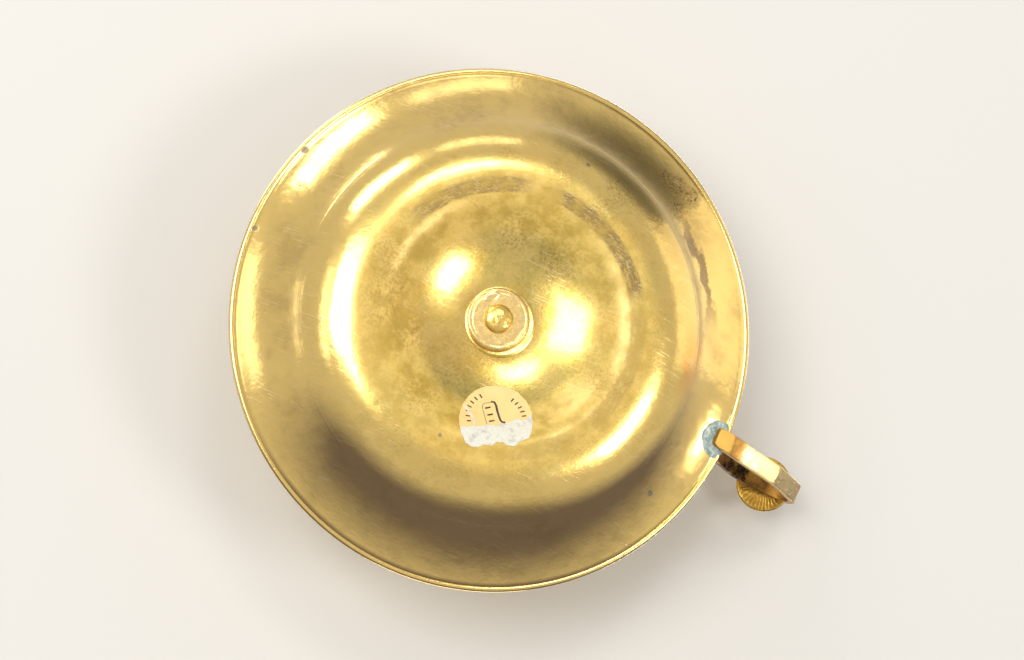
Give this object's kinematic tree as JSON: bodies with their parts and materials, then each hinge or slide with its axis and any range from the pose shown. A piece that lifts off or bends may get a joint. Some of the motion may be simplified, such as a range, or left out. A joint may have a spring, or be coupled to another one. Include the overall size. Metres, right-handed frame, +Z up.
{
  "type": "brass chamberstick",
  "caption": "Shallow round brass drip dish with a turned candle socket in the middle and a small finger ring with a round thumb rest at the rim.",
  "frame": {"origin": "centre of the foot ring, on the table plane that the dish stands on", "axes": "+Z up along the candle socket's axis, +X out along the finger ring, so X is the longest extent"},
  "size_m": [0.1703, 0.141, 0.061],
  "materials": {
    "dish_brass": "spun brass, worn polish with brown and olive tarnish",
    "socket_brass": "turned brass, polished",
    "washer_brass": "turned brass, dull",
    "ring_brass": "cast brass, filed, dark in its hollows",
    "rest_brass": "cast brass with radial file marks",
    "solder": "hard solder with grey-green verdigris",
    "label_paper": "aged printed paper, torn to white along one side"
  },
  "bodies": {
    "root": {"drip_dish": "dish_brass", "candle_socket": "socket_brass", "clamp_washer": "washer_brass", "finger_ring": "ring_brass", "thumb_rest": "rest_brass", "rim_solder": "solder", "dish_solder": "solder", "rest_solder": "solder", "paper_label": "label_paper"}
  },
  "joints": []
}
